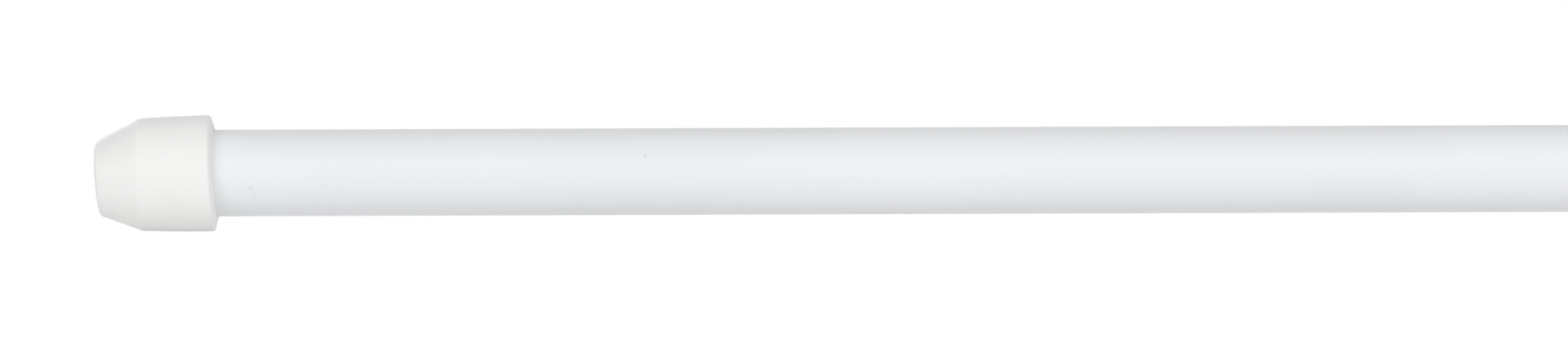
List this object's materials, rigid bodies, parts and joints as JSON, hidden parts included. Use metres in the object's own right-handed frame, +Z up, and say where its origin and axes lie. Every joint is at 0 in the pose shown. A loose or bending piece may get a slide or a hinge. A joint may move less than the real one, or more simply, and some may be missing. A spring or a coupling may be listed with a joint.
{
  "type": "spring tension curtain rod",
  "caption": "Round white spring tension curtain rod with telescoping steel tubes, soft tapered wall tips, a twist-lock cam and a coil spring inside.",
  "frame": {"origin": "centre of the wall face of the tip on the outer tube", "axes": "+X along the rod from the outer tube's tip to the inner tube's tip, +Z up, +Y to the back"},
  "size_m": [0.5424, 0.0148, 0.0148],
  "materials": {
    "white_enamel": "satin white baked enamel on thin-wall steel tube",
    "white_vinyl": "matte soft white PVC",
    "zinc_steel": "bright zinc-plated steel",
    "spring_steel": "plain drawn spring wire",
    "nylon": "natural moulded nylon"
  },
  "bodies": {
    "outer": {"outer_tube": "white_enamel", "outer_tip": "white_vinyl", "outer_end_disc": "zinc_steel"},
    "lock_ring": {"cam_ring": "nylon"},
    "lock_spindle": {"cam_core": "nylon", "cam_pin": "zinc_steel", "spindle": "zinc_steel", "plunger": "nylon", "push_nut": "zinc_steel"},
    "inner": {"inner_tube": "white_enamel", "inner_tip": "white_vinyl", "inner_end_disc": "zinc_steel", "guide_plug": "nylon", "stop_plug": "nylon", "spring": "spring_steel"}
  },
  "joints": [
    {"name": "extend", "type": "slide", "parent": "outer", "child": "lock_ring", "axis": [1, 0, 0], "range_m": [-0.06, 0.194]},
    {"name": "twist_lock", "type": "hinge", "parent": "lock_ring", "child": "lock_spindle", "pos_m": [0.07195, 0, 0], "axis": [1, 0, 0], "range_deg": [0, 90], "deforming": ["cam_ring"]},
    {"name": "spring_travel", "type": "slide", "parent": "lock_spindle", "child": "inner", "axis": [1, 0, 0], "range_m": [-0.0254, 0], "stiffness_N_per_m": 2335, "springref_m": 0.0085, "deforming": ["spring"]}
  ]
}
